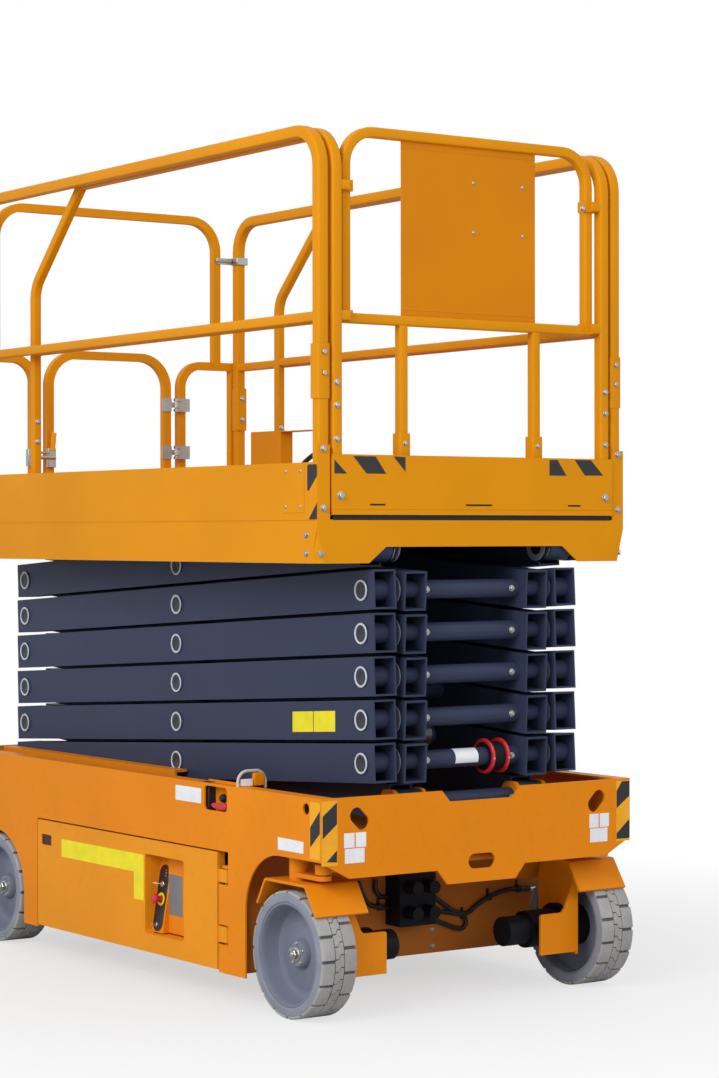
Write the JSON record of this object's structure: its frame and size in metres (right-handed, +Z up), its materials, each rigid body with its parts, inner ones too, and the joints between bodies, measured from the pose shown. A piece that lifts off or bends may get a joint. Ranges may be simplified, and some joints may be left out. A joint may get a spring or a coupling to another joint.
{
  "type": "scissor lift",
  "caption": "Self-propelled slab scissor lift: low chassis on solid tyres, stacked scissor arms, railed platform with a sliding extension, rear gate and swing-out side doors.",
  "frame": {"origin": "on the floor, at the middle of the machine's length and width", "axes": "+X towards the steered end, +Y to the left side, +Z up"},
  "size_m": [2.485, 1.19, 2.652],
  "materials": {
    "chassis_paint": "satin orange paint",
    "rail_paint": "satin amber paint",
    "arm_paint": "satin dark slate paint",
    "tyre": "light grey non-marking solid tyre",
    "rim_paint": "grey paint",
    "plated": "bright plating",
    "black_metal": "black paint",
    "steel": "bare steel"
  },
  "bodies": {
    "chassis": {"side_plates": "chassis_paint", "chassis_frame": "chassis_paint", "front_plate": "chassis_paint", "chassis_beams": "chassis_paint", "axle_beam": "chassis_paint", "arm_ears": "chassis_paint", "valve_block": "black_metal", "chassis_tracks": "chassis_paint", "door_pins": "chassis_paint", "entry_ladder": "chassis_paint", "lifting_rings": "steel", "rear_spindles": "chassis_paint"},
    "door_right": {"door_right": "chassis_paint", "hydraulic_unit": "black_metal"},
    "door_left": {"door_left": "chassis_paint", "battery_pack": "black_metal"},
    "knuckle_right": {"knuckle_right": "chassis_paint", "drive_motor_right": "black_metal"},
    "knuckle_left": {"knuckle_left": "chassis_paint", "drive_motor_left": "black_metal"},
    "tie_rod": {"tie_rod": "steel"},
    "wheel_front_right": {"tyre_front_right": "tyre", "rim_front_right": "rim_paint"},
    "wheel_front_left": {"tyre_front_left": "tyre", "rim_front_left": "rim_paint"},
    "wheel_rear_right": {"tyre_rear_right": "tyre", "rim_rear_right": "rim_paint"},
    "wheel_rear_left": {"tyre_rear_left": "tyre", "rim_rear_left": "rim_paint"},
    "lift_barrel": {"lift_barrel": "black_metal"},
    "lift_rod": {"lift_rod": "plated"},
    "platform": {"deck": "rail_paint", "deck_tracks": "arm_paint", "side_rail_right": "rail_paint", "side_rail_left": "rail_paint", "rear_rail": "rail_paint", "gate_hinges": "plated", "control_holder": "rail_paint"},
    "gate": {"gate": "rail_paint", "gate_leaves": "plated"},
    "extension": {"extension_deck": "rail_paint", "extension_rails": "rail_paint", "end_panel": "rail_paint"},
    "inner_arms_1": {"inner_arms_1": "arm_paint"},
    "outer_arms_1": {"outer_arms_1": "arm_paint", "slide_rollers": "steel"},
    "inner_arms_2": {"inner_arms_2": "arm_paint"},
    "outer_arms_2": {"outer_arms_2": "arm_paint"},
    "inner_arms_3": {"inner_arms_3": "arm_paint"},
    "outer_arms_3": {"outer_arms_3": "arm_paint"},
    "inner_arms_4": {"inner_arms_4": "arm_paint"},
    "outer_arms_4": {"outer_arms_4": "arm_paint"},
    "inner_arms_5": {"inner_arms_5": "arm_paint"},
    "outer_arms_5": {"outer_arms_5": "arm_paint"},
    "inner_arms_6": {"inner_arms_6": "arm_paint"},
    "outer_arms_6": {"outer_arms_6": "arm_paint"}
  },
  "joints": [
    {"name": "lift", "type": "hinge", "parent": "chassis", "child": "inner_arms_1", "pos_m": [1.145, 0, 0.6263], "axis": [0, 1, 0], "range_deg": [0, 56]},
    {"name": "outer_pivot_1", "type": "hinge", "parent": "inner_arms_1", "child": "outer_arms_1", "pos_m": [0.0775, 0, 0.6909], "axis": [0, 1, 0], "range_deg": [-112, 0]},
    {"name": "outer_pivot_2", "type": "hinge", "parent": "inner_arms_1", "child": "outer_arms_2", "pos_m": [-0.99, 0, 0.7555], "axis": [0, 1, 0], "range_deg": [-112, 0]},
    {"name": "inner_pivot_2", "type": "hinge", "parent": "outer_arms_2", "child": "inner_arms_2", "pos_m": [0.0775, 0, 0.8201], "axis": [0, 1, 0], "range_deg": [0, 112]},
    {"name": "inner_pivot_3", "type": "hinge", "parent": "outer_arms_2", "child": "inner_arms_3", "pos_m": [1.145, 0, 0.8847], "axis": [0, 1, 0], "range_deg": [0, 112]},
    {"name": "outer_pivot_3", "type": "hinge", "parent": "inner_arms_3", "child": "outer_arms_3", "pos_m": [0.0775, 0, 0.9493], "axis": [0, 1, 0], "range_deg": [-112, 0]},
    {"name": "outer_pivot_4", "type": "hinge", "parent": "inner_arms_3", "child": "outer_arms_4", "pos_m": [-0.99, 0, 1.0139], "axis": [0, 1, 0], "range_deg": [-112, 0]},
    {"name": "inner_pivot_4", "type": "hinge", "parent": "outer_arms_4", "child": "inner_arms_4", "pos_m": [0.0775, 0, 1.0785], "axis": [0, 1, 0], "range_deg": [0, 112]},
    {"name": "inner_pivot_5", "type": "hinge", "parent": "outer_arms_4", "child": "inner_arms_5", "pos_m": [1.145, 0, 1.1431], "axis": [0, 1, 0], "range_deg": [0, 112]},
    {"name": "outer_pivot_5", "type": "hinge", "parent": "inner_arms_5", "child": "outer_arms_5", "pos_m": [0.0775, 0, 1.2077], "axis": [0, 1, 0], "range_deg": [-112, 0]},
    {"name": "outer_pivot_6", "type": "hinge", "parent": "inner_arms_5", "child": "outer_arms_6", "pos_m": [-0.99, 0, 1.2723], "axis": [0, 1, 0], "range_deg": [-112, 0]},
    {"name": "inner_pivot_6", "type": "hinge", "parent": "outer_arms_6", "child": "inner_arms_6", "pos_m": [0.0775, 0, 1.3369], "axis": [0, 1, 0], "range_deg": [0, 112]},
    {"name": "platform_pivot", "type": "hinge", "parent": "outer_arms_6", "child": "platform", "pos_m": [1.145, 0, 1.4015], "axis": [0, 1, 0], "range_deg": [0, 56]},
    {"name": "barrel_pivot", "type": "hinge", "parent": "inner_arms_1", "child": "lift_barrel", "pos_m": [-0.81323, 0, 0.71475], "axis": [0, 1, 0], "range_deg": [-124.91, 0]},
    {"name": "rod_slide", "type": "slide", "parent": "lift_barrel", "child": "lift_rod", "axis": [0.9984, 0, 0.0558], "range_m": [0, 0.5985]},
    {"name": "steer_right", "type": "hinge", "parent": "chassis", "child": "knuckle_right", "pos_m": [1.025, -0.5315, 0.3], "axis": [0, 0, 1], "range_deg": [-32, 32]},
    {"name": "steer_left", "type": "hinge", "parent": "chassis", "child": "knuckle_left", "pos_m": [1.025, 0.5315, 0.3], "axis": [0, 0, 1], "range_deg": [-32, 32]},
    {"name": "tie_rod_pivot", "type": "hinge", "parent": "knuckle_right", "child": "tie_rod", "pos_m": [1.152, -0.5315, 0.451], "axis": [0, 0, 1], "range_deg": [-32, 32]},
    {"name": "wheel_front_right", "type": "hinge", "parent": "knuckle_right", "child": "wheel_front_right", "pos_m": [1.052, -0.5315, 0.1905], "axis": [0, 1, 0], "continuous": true},
    {"name": "wheel_front_left", "type": "hinge", "parent": "knuckle_left", "child": "wheel_front_left", "pos_m": [1.052, 0.5315, 0.1905], "axis": [0, 1, 0], "continuous": true},
    {"name": "wheel_rear_right", "type": "hinge", "parent": "chassis", "child": "wheel_rear_right", "pos_m": [-0.823, -0.5315, 0.1905], "axis": [0, 1, 0], "continuous": true},
    {"name": "wheel_rear_left", "type": "hinge", "parent": "chassis", "child": "wheel_rear_left", "pos_m": [-0.823, 0.5315, 0.1905], "axis": [0, 1, 0], "continuous": true},
    {"name": "door_right", "type": "hinge", "parent": "chassis", "child": "door_right", "pos_m": [0.69, -0.5735, 0.27], "axis": [0, 0, 1], "range_deg": [0, 90]},
    {"name": "door_left", "type": "hinge", "parent": "chassis", "child": "door_left", "pos_m": [0.69, 0.5735, 0.27], "axis": [0, 0, -1], "range_deg": [0, 90]},
    {"name": "gate", "type": "hinge", "parent": "platform", "child": "gate", "pos_m": [-1.04, 0.283, 1.8], "axis": [0, 0, 1], "range_deg": [0, 90]},
    {"name": "extension_slide", "type": "slide", "parent": "platform", "child": "extension", "axis": [1, 0, 0], "range_m": [0, 0.9]}
  ],
  "couplings": [
    {"joint": "outer_pivot_1", "follows": "lift", "ratio": -2},
    {"joint": "outer_pivot_2", "follows": "lift", "ratio": -2},
    {"joint": "inner_pivot_2", "follows": "lift", "ratio": 2},
    {"joint": "inner_pivot_3", "follows": "lift", "ratio": 2},
    {"joint": "outer_pivot_3", "follows": "lift", "ratio": -2},
    {"joint": "outer_pivot_4", "follows": "lift", "ratio": -2},
    {"joint": "inner_pivot_4", "follows": "lift", "ratio": 2},
    {"joint": "inner_pivot_5", "follows": "lift", "ratio": 2},
    {"joint": "outer_pivot_5", "follows": "lift", "ratio": -2},
    {"joint": "outer_pivot_6", "follows": "lift", "ratio": -2},
    {"joint": "inner_pivot_6", "follows": "lift", "ratio": 2},
    {"joint": "platform_pivot", "follows": "lift", "ratio": 1},
    {"joint": "barrel_pivot", "follows": "lift", "ratio": -2.2306},
    {"joint": "rod_slide", "follows": "lift", "m_per_rad": 0.61222},
    {"joint": "steer_left", "follows": "steer_right", "ratio": 1},
    {"joint": "tie_rod_pivot", "follows": "steer_right", "ratio": -1}
  ]
}
